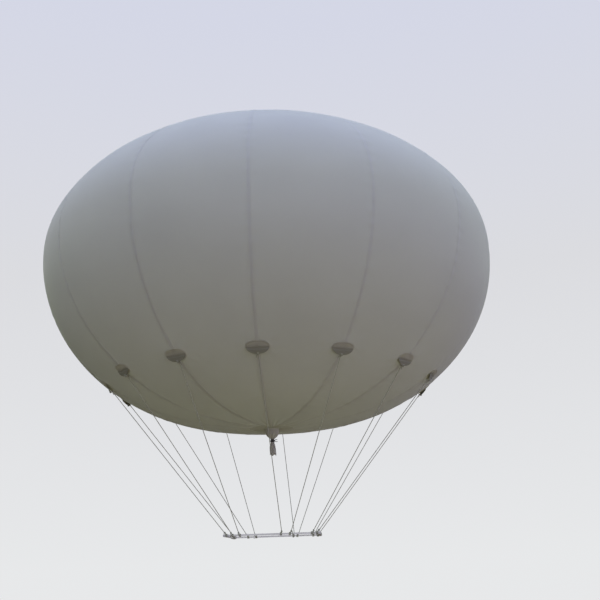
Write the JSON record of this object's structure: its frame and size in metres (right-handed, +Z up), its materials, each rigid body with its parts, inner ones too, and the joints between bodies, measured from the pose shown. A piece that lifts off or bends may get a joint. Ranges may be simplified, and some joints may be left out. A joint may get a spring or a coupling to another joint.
{
  "type": "tethered advertising balloon",
  "caption": "Flattened round helium balloon of welded film gores, with a tied filling neck, a ring of load patches and suspension lines that carry a rectangular payload frame.",
  "frame": {"origin": "middle of the envelope's widest ring, on the balloon's upright axis, where the lift of the gas is taken to act", "axes": "+Z up along the balloon's axis, +X along the long side of the payload frame, -Y towards the front seam"},
  "size_m": [3.5998, 3.5878, 3.1924],
  "materials": {
    "envelope_film": "white translucent PVC film with a soft satin gloss, darker double-thickness weld bands",
    "patch_film": "white reinforced film, satin, slightly warmer and more opaque than the envelope",
    "neck_film": "white translucent film gathered in folds",
    "line_cord": "white braided cord, matte",
    "tie_cord": "dark grey braided cord, matte",
    "frame_tube": "satin drawn aluminium tube",
    "frame_corner": "satin cast aluminium, a little duller than the bars"
  },
  "bodies": {
    "root": {"gore_01": "envelope_film", "gore_02": "envelope_film", "gore_03": "envelope_film", "gore_04": "envelope_film", "gore_05": "envelope_film", "gore_06": "envelope_film", "gore_07": "envelope_film", "gore_08": "envelope_film", "gore_09": "envelope_film", "gore_10": "envelope_film", "gore_11": "envelope_film", "gore_12": "envelope_film", "gore_13": "envelope_film", "gore_14": "envelope_film", "crown_disc": "patch_film", "base_disc": "patch_film", "filling_neck": "neck_film", "neck_tie": "tie_cord", "load_patch_01": "patch_film", "load_patch_02": "patch_film", "load_patch_03": "patch_film", "load_patch_04": "patch_film", "load_patch_05": "patch_film", "load_patch_06": "patch_film", "load_patch_07": "patch_film", "load_patch_08": "patch_film", "load_patch_09": "patch_film", "load_patch_10": "patch_film", "load_patch_11": "patch_film", "load_patch_12": "patch_film", "load_patch_13": "patch_film", "load_patch_14": "patch_film", "suspension_line_01": "line_cord", "suspension_line_02": "line_cord", "suspension_line_03": "line_cord", "suspension_line_04": "line_cord", "suspension_line_05": "line_cord", "suspension_line_06": "line_cord", "suspension_line_07": "line_cord", "suspension_line_08": "line_cord", "suspension_line_09": "line_cord", "suspension_line_10": "line_cord", "suspension_line_11": "line_cord", "suspension_line_12": "line_cord", "suspension_line_13": "line_cord", "suspension_line_14": "line_cord", "frame_bar_front": "frame_tube", "frame_bar_rear": "frame_tube", "frame_bar_left": "frame_tube", "frame_bar_right": "frame_tube", "frame_corner_front_left": "frame_corner", "frame_corner_front_right": "frame_corner", "frame_corner_rear_left": "frame_corner", "frame_corner_rear_right": "frame_corner"}
  },
  "joints": []
}
